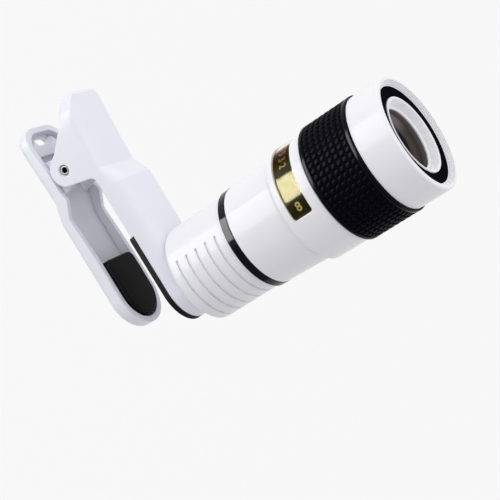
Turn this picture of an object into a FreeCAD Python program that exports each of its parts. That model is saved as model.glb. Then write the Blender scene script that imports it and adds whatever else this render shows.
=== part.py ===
# Clip-on telephoto lens for a phone, in millimetres.
# The origin is where the optical axis crosses the face of the lens jaw's pad, which lies on the
# phone's back. +Z runs along the axis to the front lens, -X to the finger tabs, and Y along the hinge.
# The jaws stand open on a phone with its case.

import FreeCAD, Part
import math
import os

os.makedirs("parts", exist_ok=True)

V = FreeCAD.Vector

# Fits and clearances
RUNNING_FIT = 0.05        # radial gap of a shaft that turns or slides in its bore
SEAT_FIT = 0.03           # radial gap of a piece pushed or screwed into its seat
SIDE_GAP = 0.3            # gap between the two jaws' cheeks, and above the pad jaw's walls

# Clip, shared by both jaws
CLIP_WIDTH = 18.0
PIVOT_X = -40.5
PIVOT_Z = -5.9
PIN_RADIUS = 1.2
PIN_BORE = 0.7            # radius of the hollow ends of the rivet
PIN_BORE_DEPTH = 2.5
PIN_EDGE = 0.15           # rounding of the rivet's rims
PIN_SINK = 0.45           # how far the rivet ends lie below the cheeks
RIVET_POCKET = 0.3        # extra radius of the pocket round each rivet end
RIVET_POCKET_DEPTH = 0.7

# Lens jaw
ARM_TOP = 7.2             # seat of the lens above the pad's face
ARM_RIM = 0.8             # lower rim of the arm
PAD_THICKNESS = 1.6
HEAD_CENTRE = 0.5
HEAD_BACK = -16.5         # where the head's pad ends and the open arm begins
HEAD_SOLID = -12.5        # where the solid head round the lens thread begins
STEP_TOP_X = -30.2        # crease where the arm steps down to the finger tab
STEP_FOOT_X = -35.6
TAB_END = -57.3
TAB_FOOT_TOP = 4.2        # top of the tab at the foot of the step
TAB_END_TOP = 6.1
TAB_END_ROUND = 3.4       # rounding of the tab's upper edge at its end
CROWN = 4.5               # width of the rounded shoulder on each side
ARM_CROWN_DROP = 4.0
TAB_CROWN_DROP = 1.6
TAB_END_CROWN_DROP = 3.9
LENS_JAW_WALL = 1.8
LENS_JAW_ROOF = 1.8
CHEEK_RADIUS = 4.2        # round foot of each cheek about the pin
CHEEK_FRONT_LEAN = 14.0   # degrees by which the cheek widens upwards to the front
CHEEK_BACK_LEAN = 30.0
CHEEK_BACK_REACH = 10.6   # from the pin to where the cheek meets the tab's rim
CHEEK_BACK_RISE = 6.4
RIB_THICKNESS = 1.2
RIB_COUNT = 3
RIB_DEPTH = 2.4
LENS_THREAD_RADIUS = 7.5
PAD_HOLE_RADIUS = 6.5

# Pad jaw
PAD_JAW_END = 4.0         # front end of the pad jaw
PAD_JAW_OUTER = -15.7     # outer face under the pad
PAD_JAW_RIM = -11.6       # rim beside the pad
PAD_JAW_BEND_X = -29.4    # front end of the S-bend
PAD_JAW_TAB_X = -35.0     # rear end of the S-bend
PAD_JAW_TAB_OUTER = -14.1
PAD_JAW_TAB_END_OUTER = -14.9
PAD_JAW_TAB_END = -55.6
PAD_JAW_TAB_CORNER = 5.6
PAD_JAW_TAB_FALL = 0.9    # how much lower the walls are at the tab's end
PAD_JAW_BUMP = 0.6        # rise of the walls in front of the cheeks
PAD_JAW_FLOOR = 1.4
PAD_JAW_WALL = 1.6
PAD_JAW_EDGE = 1.8        # rounding of the outer edges
EAR_THICKNESS = 1.7
EAR_RADIUS = 3.2
EAR_FOOT = 2.2            # how much wider each ear's foot is on each side
PAD_FACE = -10.6          # face of the pad jaw's pad
PAD_BACK = -15.5
PAD_MARGIN = 0.6          # gap between the pad and the tray's rim
ISLAND_TOP = -11.9        # raised floor round the strap slot
ISLAND_BACK = -47.5
ISLAND_GAP = 1.0
SLOT_X = -51.9
SLOT_LENGTH = 8.0
SLOT_WIDTH = 2.6

# Torsion spring
WIRE_RADIUS = 0.45
WIRE_SIDES = 8            # the coil's wire is drawn with this many flats
COIL_RADIUS = 2.15
COIL_TURNS = 6
COIL_PITCH = 1.2
UPPER_LEG = 7.6           # how far behind the pin the legs press on the tabs
LOWER_LEG = 6.2

# Lens, heights along the optical axis
GRIP_RADIUS = 15.95       # the widest, from which the other outside radii step inwards
COLLAR_INSET = 0.5        # collar inside the barrel's rear end
COLLAR_LENGTH = 18.8
COLLAR_FLOOR = 2.2
COLLAR_WALL = 1.8
COLLAR_EDGE = 1.0         # rounding of the collar's edge on the seat
COLLAR_NOSE = 8.0         # how far the collar reaches into the barrel
THREAD_SPIGOT = 4.4
GROOVE_COUNT = 5
GROOVE_FIRST = 3.2        # first groove above the lens seat
GROOVE_PITCH = 3.15
GROOVE_WIDTH = 0.55
GROOVE_DEPTH = 0.45
MARK_AZIMUTH = 215.0      # middle of the plain panel and of the scale window, in degrees about +Z
PANEL_HALF_ANGLE = 32.3
TRIM_LENGTH = 2.3
TRIM_PROUD = 0.05
TRIM_EDGE = 0.2
BARREL_TAPER = 0.5        # how much the barrel widens from its rear end to its waist
BARREL_STEP = 1.1
BARREL_STEP_Z = 42.2
BARREL_STEP_LENGTH = 1.0
BARREL_STEP_ROUND = 0.5   # rounding at both ends of the step
SCALE_INSET = 0.65        # wide part of the barrel inside the rubber
BARREL_WALL = 1.25
BARREL_SHOULDER = 0.25    # step in the bore that the field stop rests on
WINDOW_Z = 44.85
WINDOW_WIDTH = 5.7
WINDOW_HALF_ANGLE = 65.5
WINDOW_DEPTH = 1.0
WINDOW_CORNER = 0.8       # rounding of the window's corners
SCALE_THICKNESS = 0.3
GRIP_REAR = 53.7
GRIP_LENGTH = 14.3
GRIP_BAND = 1.2
GRIP_BAND_PROUD = 0.25    # plain bands above the bottom of the woven field between them
GRIP_THICKNESS = 0.95
GRIP_EDGE = 0.3
CARRIER_WALL = 1.8        # focus ring over the fixed sleeve that it turns on
SLEEVE_LENGTH = 5.2
SLEEVE_WALL = 2.2
STOP_COUNT = 3
STOP_SCREW_RADIUS = 0.7
STOP_GROOVE_DEPTH = 0.7
STOP_GROOVE_WEB = 8.0     # degrees between two stop grooves
STOP_Z = 2.9              # height of the stop screws above the grip's rear
HELICOID_REAR = 6.5       # above the grip's rear
HELICOID_LENGTH = 5.9
HOOD_SPIGOT_DEPTH = 1.35  # focus ring's wall round the hood's spigot
HOOD_FRONT = 77.3
HOOD_INSET = 0.45         # front ring inside the rubber
HOOD_WALL = 2.2
HOOD_LIP = 0.5            # flat width of the front rim
HOOD_EDGE = 0.7
HOOD_STEPS = 3
HOOD_STEP_DEPTH = 0.4
NAME_RING_WIDTH = 2.65
NAME_RING_THICKNESS = 0.8
HOOD_LEDGE = 0.7

# Focusing cell and its glass
CELL_SKIRT_REAR = 60.6
CELL_SKIRT_LENGTH = 4.8
CELL_SKIRT_WALL = 2.0
CELL_GAP = 0.3            # between the cell and the name ring, and the step in the cell's bore
CELL_WALL = 0.95          # of the cell beside its glass
CELL_PROUD = 0.15         # how far the cell's rim stands in front of the name ring's face
FUNNEL_DEPTH = 2.52
FUNNEL_RIM = 0.35
FUNNEL_EDGE = 0.12
OBJECTIVE_LIP = 1.2
OBJECTIVE_LIP_WIDTH = 1.1
CROWN_THICKNESS = 2.5
FLINT_THICKNESS = 2.9
OBJECTIVE_FRONT_CURVE = 42.0
CEMENT_CURVE = 32.0
FLINT_REAR_CURVE = 90.0
RETAINER_LENGTH = 1.1
RETAINER_WALL = 0.9
GUIDE_WALL = 0.95
GUIDE_FLANGE_Z = 48.0
GUIDE_FLANGE_LENGTH = 1.5
GUIDE_FRONT = 63.6
KEY_WIDTH = 1.2
KEY_HEIGHT = 0.7
KEY_REAR = 59.3

# Eyepiece
EYEPIECE_RADIUS = 6.3
EYEPIECE_LENGTH = 14.0
EYEPIECE_FLANGE_RADIUS = 8.5
EYEPIECE_FLANGE = 1.5
EYEPIECE_WALL = 1.4
EYE_APERTURE = 3.9
EYE_LIP = 2.6
EYE_CONE = 5.3
EYE_LENS_THICKNESS = 2.6
EYE_LENS_CURVE = 14.0
FIELD_LENS_THICKNESS = 1.8
FIELD_LENS_CURVE = 26.0
SPACER_LENGTH = 2.2
FIELD_STOP_THICKNESS = 0.7
FIELD_STOP_APERTURE = 6.8

# Levels and radii that follow from the sizes above
HALF_WIDTH = CLIP_WIDTH / 2
HEAD_RADIUS = HALF_WIDTH
CHEEK_INNER = HALF_WIDTH - LENS_JAW_WALL
EAR_OUTER = CHEEK_INNER - SIDE_GAP
PAD_JAW_WALL_TOP = PIVOT_Z - CHEEK_RADIUS - SIDE_GAP
SCALE_RADIUS = GRIP_RADIUS - SCALE_INSET
BARREL_WAIST = SCALE_RADIUS - BARREL_STEP
BARREL_REAR = BARREL_WAIST - BARREL_TAPER
COLLAR_RADIUS = BARREL_REAR - COLLAR_INSET
COLLAR_FRONT = ARM_TOP + COLLAR_LENGTH
COLLAR_BORE = COLLAR_RADIUS - COLLAR_WALL
TRIM_FRONT_Z = COLLAR_FRONT + TRIM_LENGTH
BARREL_BORE = BARREL_REAR - BARREL_WALL - BARREL_SHOULDER
STOP_SEAT_Z = COLLAR_FRONT + COLLAR_NOSE
CARRIER_RADIUS = GRIP_RADIUS - GRIP_THICKNESS
SLEEVE_RADIUS = CARRIER_RADIUS - CARRIER_WALL
HOOD_SPIGOT_RADIUS = CARRIER_RADIUS - HOOD_SPIGOT_DEPTH
HOOD_RADIUS = GRIP_RADIUS - HOOD_INSET
NAME_RING_RADIUS = HOOD_RADIUS - HOOD_WALL
NAME_RING_BORE = NAME_RING_RADIUS - NAME_RING_WIDTH
CELL_RADIUS = NAME_RING_BORE - CELL_GAP
OBJECTIVE_RADIUS = CELL_RADIUS - CELL_WALL
OBJECTIVE_APERTURE = OBJECTIVE_RADIUS - OBJECTIVE_LIP_WIDTH
CELL_SKIRT_BORE = CELL_RADIUS - CELL_GAP
HELICOID_RADIUS = CELL_SKIRT_BORE + CELL_SKIRT_WALL + RUNNING_FIT
GRIP_FRONT = GRIP_REAR + GRIP_LENGTH
SLEEVE_FRONT = GRIP_REAR + SLEEVE_LENGTH
NAME_RING_FACE = HOOD_FRONT - HOOD_STEPS * HOOD_STEP_DEPTH
CELL_FRONT = NAME_RING_FACE + CELL_PROUD
APERTURE_Z = CELL_FRONT - FUNNEL_DEPTH
LENS_FRONT_Z = APERTURE_Z - OBJECTIVE_LIP
CEMENT_Z = LENS_FRONT_Z - CROWN_THICKNESS
LENS_REAR_Z = CEMENT_Z - FLINT_THICKNESS
GUIDE_RADIUS = CELL_SKIRT_BORE - RUNNING_FIT
EYEPIECE_REAR = ARM_TOP - THREAD_SPIGOT
EYE_SEAT_Z = EYEPIECE_REAR + EYE_LIP
EYE_GLASS_RADIUS = EYEPIECE_RADIUS - EYEPIECE_WALL
FIELD_LENS_Z = EYE_SEAT_Z + EYE_LENS_THICKNESS + SPACER_LENGTH


# Shared shapes

def solid_of(shape):
    """The one solid in a shape, with its split faces joined again."""
    return shape.removeSplitter().Solids[0]


def outline(points):
    """A closed wire through (a, b, radius) corners, with each corner rounded by its own radius."""
    corners = [V(a, b, 0) for a, b, _ in points]
    edges = []
    last = None
    first = None
    for i, (_, _, radius) in enumerate(points):
        here = corners[i]
        back = (corners[i - 1] - here).normalize()
        ahead = (corners[(i + 1) % len(points)] - here).normalize()
        half_turn = back.getAngle(ahead) / 2
        reach = radius / math.tan(half_turn)
        start = here + back * reach
        end = here + ahead * reach
        if last is not None and (start - last).Length > 1e-6:
            edges.append(Part.LineSegment(last, start).toShape())
        if radius > 0:
            middle_way = (back + ahead).normalize()
            middle = here + middle_way * (radius / math.sin(half_turn) - radius)
            edges.append(Part.Arc(start, middle, end).toShape())
        if first is None:
            first = start
        last = end
    if (last - first).Length > 1e-6:
        edges.append(Part.LineSegment(last, first).toShape())
    return Part.Wire(edges)


def side_plate(points, y_low, y_high):
    """A plate between two widths whose side outline is given as (x, z, radius) corners."""
    face = Part.Face(outline(points))
    face.rotate(V(0, 0, 0), V(1, 0, 0), 90)
    face.translate(V(0, y_high, 0))
    return face.extrude(V(0, y_low - y_high, 0))


def plan_plate(points, z_low, z_high):
    """A plate between two heights whose plan is given as (x, y, radius) corners."""
    face = Part.Face(outline(points))
    face.translate(V(0, 0, z_low))
    return face.extrude(V(0, 0, z_high - z_low))


def turned(points, degrees=360.0):
    """A turned solid about the optical axis, from straight (radius, z) corners."""
    wire = Part.makePolygon([V(r, 0, z) for r, z in points + points[:1]])
    return Part.Face(wire).revolve(V(0, 0, 0), V(0, 0, 1), degrees)


def tube(outer, inner, low, high):
    """A plain ring about the optical axis."""
    return turned([(inner, low), (outer, low), (outer, high), (inner, high)])


def rim_edges(body, radius, z):
    """The round edges of a turned body at a radius and a height."""
    corner = V(radius, 0, z)
    return [e for e in body.Edges if all((v.Point - corner).Length < 1e-4 for v in e.Vertexes)]


def tube_sector(outer, inner, low, high, middle, half_angle):
    """A part of a ring, centred on an azimuth about the optical axis."""
    sector = turned([(inner, low), (outer, low), (outer, high), (inner, high)], 2 * half_angle)
    sector.rotate(V(0, 0, 0), V(0, 0, 1), middle - half_angle)
    return sector


def window_sector(outer, inner, margin):
    """The scale window's shape between two radii, inset by a margin, with rounded corners."""
    half_angle = WINDOW_HALF_ANGLE - math.degrees(margin / SCALE_RADIUS)
    sector = tube_sector(outer, inner, WINDOW_Z + margin, WINDOW_Z + WINDOW_WIDTH - margin,
                         MARK_AZIMUTH, half_angle)
    corners = [e for e in sector.Edges if abs(e.Length - (outer - inner)) < 1e-6]
    return sector.makeFillet(WINDOW_CORNER - margin, corners)


def cross_pin(radius, y_low, y_high):
    """A cylinder along the hinge."""
    return Part.makeCylinder(radius, y_high - y_low, V(PIVOT_X, y_low, PIVOT_Z), V(0, 1, 0))


def spherical_cap(radius, curve, z, bulge):
    """The solid of a glass face: a ball cut off at the rim. bulge is +1 to the front, -1 to the rear."""
    sag = curve - math.sqrt(curve ** 2 - radius ** 2)
    centre = V(0, 0, z + bulge * (sag - curve))
    ball = Part.makeSphere(curve, centre)
    low = z if bulge > 0 else z - sag - 1
    return ball.common(Part.makeCylinder(radius, sag + 1, V(0, 0, low)))


# Lens jaw

def crowned_section(x, half_width, top, drop, crown, bottom):
    """A section across the clip with a flat top and rounded shoulders."""
    left = Part.BezierCurve()
    left.setPoles([V(x, -half_width, top - drop), V(x, -half_width, top), V(x, crown - half_width, top)])
    right = Part.BezierCurve()
    right.setPoles([V(x, half_width - crown, top), V(x, half_width, top), V(x, half_width, top - drop)])
    return Part.Wire([
        Part.LineSegment(V(x, -half_width, bottom), V(x, -half_width, top - drop)).toShape(),
        left.toShape(),
        Part.LineSegment(V(x, crown - half_width, top), V(x, half_width - crown, top)).toShape(),
        right.toShape(),
        Part.LineSegment(V(x, half_width, top - drop), V(x, half_width, bottom)).toShape(),
        Part.LineSegment(V(x, half_width, bottom), V(x, -half_width, bottom)).toShape(),
    ])


def crowned_body(inset, roof, x_front, x_back):
    """The arm, step and tab as one crowned body, or its hollow, inset by the wall and the roof."""
    half_width = HALF_WIDTH - inset
    bottom = PIVOT_Z - 2 * CHEEK_RADIUS
    end_share = (x_back - STEP_FOOT_X) / (TAB_END - STEP_FOOT_X)
    end_top = TAB_FOOT_TOP + (TAB_END_TOP - TAB_FOOT_TOP) * end_share
    end_drop = TAB_CROWN_DROP + (TAB_END_CROWN_DROP - TAB_CROWN_DROP) * end_share
    stations = [
        (STEP_TOP_X, ARM_TOP, ARM_CROWN_DROP),
        (STEP_FOOT_X, TAB_FOOT_TOP, TAB_CROWN_DROP),
        (x_back, end_top, end_drop),
    ]
    sections = [crowned_section(x, half_width, top - roof, drop, CROWN, bottom) for x, top, drop in stations]
    arm = Part.Face(sections[0]).extrude(V(x_front - STEP_TOP_X, 0, 0))
    return arm.fuse(Part.makeLoft(sections, True, True))


def head_plan(margin, back, corner):
    """The plan of the lens jaw's head, with a round front, as corners for a plate."""
    radius = HEAD_RADIUS - margin
    front = HEAD_CENTRE + radius
    return [(back, -radius, corner), (front, -radius, radius - 0.001), (front, radius, radius - 0.001),
            (back, radius, corner)]


def cheek_flank(lean, height):
    """How far from the pin a cheek's flank lies at a height. It leaves the round foot at a tangent."""
    return (CHEEK_RADIUS + height * math.sin(math.radians(lean))) / math.cos(math.radians(lean))


def lens_jaw_side():
    """The side outline of the lens jaw: arm, cheek with a foot that is round about the pin, and tab."""
    front = HEAD_CENTRE + HEAD_RADIUS
    over = ARM_TOP + 1
    foot = PIVOT_Z - CHEEK_RADIUS
    return [
        (front, over, 0), (front, PAD_THICKNESS, 0), (HEAD_BACK, PAD_THICKNESS, 0), (HEAD_BACK, ARM_RIM, 0),
        (PIVOT_X + cheek_flank(CHEEK_FRONT_LEAN, ARM_RIM - PIVOT_Z), ARM_RIM, 2.0),
        (PIVOT_X + cheek_flank(CHEEK_FRONT_LEAN, -CHEEK_RADIUS), foot, CHEEK_RADIUS),
        (PIVOT_X - cheek_flank(CHEEK_BACK_LEAN, -CHEEK_RADIUS), foot, CHEEK_RADIUS),
        (PIVOT_X - cheek_flank(CHEEK_BACK_LEAN, 0), PIVOT_Z, 4.0),
        (PIVOT_X - CHEEK_BACK_REACH, PIVOT_Z + CHEEK_BACK_RISE, 3.0),
        (TAB_END, TAB_END_TOP - TAB_END_CROWN_DROP, 0), (TAB_END, TAB_END_TOP, TAB_END_ROUND),
        (STEP_FOOT_X, over, 0),
    ]


def lens_jaw_plan(margin, front, corner):
    """The plan of the lens jaw with its round tab, inset by a margin, up to a front with its own corners."""
    half_width = HALF_WIDTH - margin
    back = TAB_END + margin
    return [(back, -half_width, half_width - 0.001), (front, -half_width, corner),
            (front, half_width, corner), (back, half_width, half_width - 0.001)]


def lens_jaw():
    front = HEAD_CENTRE + HEAD_RADIUS
    body = crowned_body(0, 0, front, TAB_END)
    body = body.common(side_plate(lens_jaw_side(), -HALF_WIDTH, HALF_WIDTH))
    low = PIVOT_Z - CHEEK_RADIUS - 1
    body = body.common(plan_plate(lens_jaw_plan(0, front, HEAD_RADIUS - 0.001), low, ARM_TOP + 1))
    hollow = crowned_body(LENS_JAW_WALL, LENS_JAW_ROOF, HEAD_SOLID, TAB_END + LENS_JAW_WALL)
    hollow_plan = lens_jaw_plan(LENS_JAW_WALL, HEAD_SOLID, 0)
    body = body.cut(hollow.common(plan_plate(hollow_plan, low, ARM_TOP)))
    rib_room = HEAD_SOLID - STEP_TOP_X
    for i in range(RIB_COUNT):
        x = STEP_TOP_X + rib_room * (i + 0.5) / RIB_COUNT
        roof = ARM_TOP - LENS_JAW_ROOF
        rib = Part.makeBox(RIB_THICKNESS, 2 * CHEEK_INNER, RIB_DEPTH,
                           V(x - RIB_THICKNESS / 2, -CHEEK_INNER, roof - RIB_DEPTH))
        body = body.fuse(rib.common(crowned_body(0, 0, front, TAB_END)))
    body = body.cut(Part.makeCylinder(LENS_THREAD_RADIUS, ARM_TOP + 1))
    body = body.cut(cross_pin(PIN_RADIUS + SEAT_FIT, -HALF_WIDTH, HALF_WIDTH))
    for side in (-1, 1):
        pocket_y = side * HALF_WIDTH - (RIVET_POCKET_DEPTH if side > 0 else 0)
        body = body.cut(cross_pin(PIN_RADIUS + RIVET_POCKET, pocket_y, pocket_y + RIVET_POCKET_DEPTH))
    return solid_of(body)


def lens_jaw_pad():
    pad = plan_plate(head_plan(0, HEAD_BACK, 0.8), 0, PAD_THICKNESS)
    return solid_of(pad.cut(Part.makeCylinder(PAD_HOLE_RADIUS, PAD_THICKNESS)))


# Pad jaw

def pad_jaw_underside(lift):
    """The outer line of the pad jaw from its front to the tab's end, raised by lift."""
    return [
        (PAD_JAW_END, PAD_JAW_OUTER + lift, 0),
        (PAD_JAW_BEND_X, PAD_JAW_OUTER + lift, 5.0),
        (PAD_JAW_TAB_X, PAD_JAW_TAB_OUTER + lift, 5.0),
        (PAD_JAW_TAB_END, PAD_JAW_TAB_END_OUTER + lift, 0),
    ]


def pad_jaw_side():
    """The side outline of the pad jaw. Its walls pass close under the round feet of the cheeks."""
    return pad_jaw_underside(0) + [
        (PAD_JAW_TAB_END, PAD_JAW_WALL_TOP - PAD_JAW_TAB_FALL, 0),
        (PIVOT_X, PAD_JAW_WALL_TOP, 4.0),
        (PIVOT_X + CHEEK_RADIUS, PAD_JAW_WALL_TOP, 2.0),
        (PIVOT_X + CHEEK_RADIUS + 4 * PAD_JAW_BUMP, PAD_JAW_WALL_TOP + PAD_JAW_BUMP, 1.2),
        (PAD_JAW_BEND_X, PAD_JAW_RIM - PAD_JAW_BUMP, 2.0),
        (HEAD_BACK, PAD_JAW_RIM, 3.0),
        (PAD_JAW_END, PAD_JAW_RIM, 0),
    ]


def pad_jaw_plan(margin):
    """The plan of the pad jaw, inset by a margin."""
    half_width = HALF_WIDTH - margin
    back = PAD_JAW_TAB_END + margin
    front = PAD_JAW_END - margin
    corner = PAD_JAW_TAB_CORNER - margin / 2
    return [(back, -half_width, corner), (front, -half_width, half_width - 0.001),
            (front, half_width, half_width - 0.001), (back, half_width, corner)]


def pad_jaw_ear(side):
    """One pivot ear that stands on the tray's floor inside the lens jaw's cheeks."""
    foot = PAD_JAW_TAB_OUTER + PAD_JAW_FLOOR / 2
    points = [
        (PIVOT_X - EAR_RADIUS - EAR_FOOT, foot, 0),
        (PIVOT_X - EAR_RADIUS, PIVOT_Z + EAR_RADIUS, EAR_RADIUS - 0.001),
        (PIVOT_X + EAR_RADIUS, PIVOT_Z + EAR_RADIUS, EAR_RADIUS - 0.001),
        (PIVOT_X + EAR_RADIUS + EAR_FOOT, foot, 0),
    ]
    if side > 0:
        return side_plate(points, EAR_OUTER - EAR_THICKNESS, EAR_OUTER)
    return side_plate(points, -EAR_OUTER, EAR_THICKNESS - EAR_OUTER)


def strap_slot(low, high):
    """The round-ended slot across the tab."""
    middle = SLOT_LENGTH / 2 - SLOT_WIDTH / 2
    slot = Part.makeBox(SLOT_WIDTH, 2 * middle, high - low, V(SLOT_X - SLOT_WIDTH / 2, -middle, low))
    for y in (-middle, middle):
        slot = slot.fuse(Part.makeCylinder(SLOT_WIDTH / 2, high - low, V(SLOT_X, y, low)))
    return slot


def pad_jaw():
    low = PAD_JAW_OUTER - 1
    body = side_plate(pad_jaw_side(), -HALF_WIDTH, HALF_WIDTH)
    body = body.common(plan_plate(pad_jaw_plan(0), low, PIVOT_Z)).removeSplitter()
    outer_edges = [e for e in body.Edges
                   if max(v.Z for v in e.Vertexes) < PAD_JAW_TAB_OUTER + 0.3
                   and min(abs(p.y) for p in e.discretize(3)) > 0.4]
    body = body.makeFillet(PAD_JAW_EDGE, outer_edges)
    tray_side = pad_jaw_underside(PAD_JAW_FLOOR) + [(PAD_JAW_TAB_END, PIVOT_Z, 0), (PAD_JAW_END, PIVOT_Z, 0)]
    tray = side_plate(tray_side, -HALF_WIDTH, HALF_WIDTH)
    body = body.cut(tray.common(plan_plate(pad_jaw_plan(PAD_JAW_WALL), low, PIVOT_Z)))
    island_foot = PAD_JAW_TAB_END_OUTER + PAD_JAW_FLOOR / 2
    island = plan_plate(pad_jaw_plan(PAD_JAW_WALL + ISLAND_GAP), island_foot, ISLAND_TOP)
    behind = Part.makeBox(ISLAND_BACK - PAD_JAW_TAB_END, CLIP_WIDTH, CLIP_WIDTH,
                          V(PAD_JAW_TAB_END, -HALF_WIDTH, low))
    body = body.fuse(island.common(behind))
    for side in (-1, 1):
        body = body.fuse(pad_jaw_ear(side))
    body = body.cut(cross_pin(PIN_RADIUS + RUNNING_FIT, -HALF_WIDTH, HALF_WIDTH))
    return solid_of(body.cut(strap_slot(low, PIVOT_Z)))


def pad_jaw_pad():
    margin = PAD_JAW_WALL + PAD_MARGIN
    half_width = HALF_WIDTH - margin
    front = PAD_JAW_END - margin
    plan = [(PAD_BACK, -half_width, 2.0), (front, -half_width, half_width - 0.001),
            (front, half_width, half_width - 0.001), (PAD_BACK, half_width, 2.0)]
    pad = plan_plate(plan, PAD_JAW_OUTER + PAD_JAW_FLOOR, PAD_FACE)
    top_edges = [e for e in pad.Edges if min(v.Z for v in e.Vertexes) > PAD_FACE - 0.01]
    return solid_of(pad.makeFillet(0.8, top_edges))


# Hinge

def pivot_pin():
    half = HALF_WIDTH - PIN_SINK
    pin = cross_pin(PIN_RADIUS, -half, half)
    pin = pin.cut(cross_pin(PIN_BORE, -half, PIN_BORE_DEPTH - half))
    pin = pin.cut(cross_pin(PIN_BORE, half - PIN_BORE_DEPTH, half))
    rims = [e for e in pin.Edges if min(abs(v.Y) for v in e.Vertexes) > half - 0.01]
    return solid_of(pin.makeFillet(PIN_EDGE, rims))


def leg_angle(x, z, side):
    """The angle about the pin, from +X to +Z, where a straight leg to a point leaves the coil."""
    distance = math.hypot(x, z)
    return math.degrees(math.atan2(z, x)) + side * math.degrees(math.acos(COIL_RADIUS / distance))


def spring_leg(angle, x, z, y):
    """The pieces of one leg, from the coil to the point it presses on, with a round elbow and tip."""
    start = V(COIL_RADIUS * math.cos(math.radians(angle)), y, COIL_RADIUS * math.sin(math.radians(angle)))
    tip = V(x, y, z)
    way = tip - start
    leg = Part.makeCylinder(WIRE_RADIUS, way.Length, start, way)
    return [leg, Part.makeSphere(WIRE_RADIUS, start), Part.makeSphere(WIRE_RADIUS, tip)]


def torsion_spring():
    upper_x = -UPPER_LEG
    tab_share = (PIVOT_X + upper_x - STEP_FOOT_X) / (TAB_END - STEP_FOOT_X)
    tab_roof = TAB_FOOT_TOP + (TAB_END_TOP - TAB_FOOT_TOP) * tab_share - LENS_JAW_ROOF
    upper_z = tab_roof - WIRE_RADIUS - 2 * RUNNING_FIT - PIVOT_Z
    lower_x = -LOWER_LEG
    tab_slope = (PAD_JAW_TAB_END_OUTER - PAD_JAW_TAB_OUTER) / (PAD_JAW_TAB_END - PAD_JAW_TAB_X)
    lower_floor = PAD_JAW_TAB_OUTER + tab_slope * (PIVOT_X + lower_x - PAD_JAW_TAB_X) + PAD_JAW_FLOOR
    lower_z = lower_floor + WIRE_RADIUS + 2 * RUNNING_FIT - PIVOT_Z
    upper_angle = leg_angle(upper_x, upper_z, -1)
    lower_angle = leg_angle(lower_x, lower_z, 1)
    turns = COIL_TURNS + ((upper_angle - lower_angle) % 360) / 360
    length = turns * COIL_PITCH
    helix = Part.makeHelix(COIL_PITCH, length, COIL_RADIUS)
    start = V(COIL_RADIUS, 0, 0)
    outward = V(1, 0, 0)
    upward = V(0, -COIL_PITCH / (2 * math.pi), COIL_RADIUS).normalize()
    corners = []
    for i in range(WIRE_SIDES + 1):
        angle = 2 * math.pi * i / WIRE_SIDES
        across = WIRE_RADIUS * math.cos(angle)
        along = WIRE_RADIUS * math.sin(angle)
        corners.append(start + outward * across + upward * along)
    section = Part.makePolygon(corners)
    coil = Part.Wire(helix.Edges).makePipeShell([section], True, True)
    coil.rotate(V(0, 0, 0), V(0, 0, 1), lower_angle)
    coil.rotate(V(0, 0, 0), V(1, 0, 0), 90)
    coil.translate(V(0, length / 2, 0))
    lower_leg = spring_leg(lower_angle, lower_x, lower_z, length / 2)
    upper_leg = spring_leg(upper_angle, upper_x, upper_z, -length / 2)
    spring = coil.fuse(lower_leg + upper_leg)
    spring.translate(V(PIVOT_X, 0, PIVOT_Z))
    return solid_of(spring)


# Rear of the lens

def base_collar():
    spigot = LENS_THREAD_RADIUS - SEAT_FIT
    nose = BARREL_BORE + BARREL_SHOULDER - SEAT_FIT
    body = turned([
        (EYEPIECE_RADIUS, EYEPIECE_REAR), (spigot, EYEPIECE_REAR), (spigot, ARM_TOP),
        (COLLAR_RADIUS, ARM_TOP), (COLLAR_RADIUS, COLLAR_FRONT), (nose, COLLAR_FRONT),
        (nose, STOP_SEAT_Z - FIELD_STOP_THICKNESS),
        (COLLAR_BORE, STOP_SEAT_Z - FIELD_STOP_THICKNESS), (COLLAR_BORE, ARM_TOP + COLLAR_FLOOR),
        (EYEPIECE_RADIUS, ARM_TOP + COLLAR_FLOOR),
    ])
    body = body.makeFillet(COLLAR_EDGE, rim_edges(body, COLLAR_RADIUS, ARM_TOP))
    for i in range(GROOVE_COUNT):
        z = ARM_TOP + GROOVE_FIRST + i * GROOVE_PITCH
        groove = tube_sector(COLLAR_RADIUS + 1, COLLAR_RADIUS - GROOVE_DEPTH, z - GROOVE_WIDTH / 2,
                             z + GROOVE_WIDTH / 2, MARK_AZIMUTH + 180, 180 - PANEL_HALF_ANGLE)
        body = body.cut(groove)
    return solid_of(body)


def trim_ring():
    nose = BARREL_BORE + BARREL_SHOULDER
    flange = BARREL_REAR + TRIM_PROUD
    return solid_of(turned([
        (nose, COLLAR_FRONT), (flange - TRIM_EDGE, COLLAR_FRONT), (flange, COLLAR_FRONT + TRIM_EDGE),
        (flange, TRIM_FRONT_Z - TRIM_EDGE), (flange - TRIM_EDGE, TRIM_FRONT_Z), (nose, TRIM_FRONT_Z),
    ]))


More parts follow.
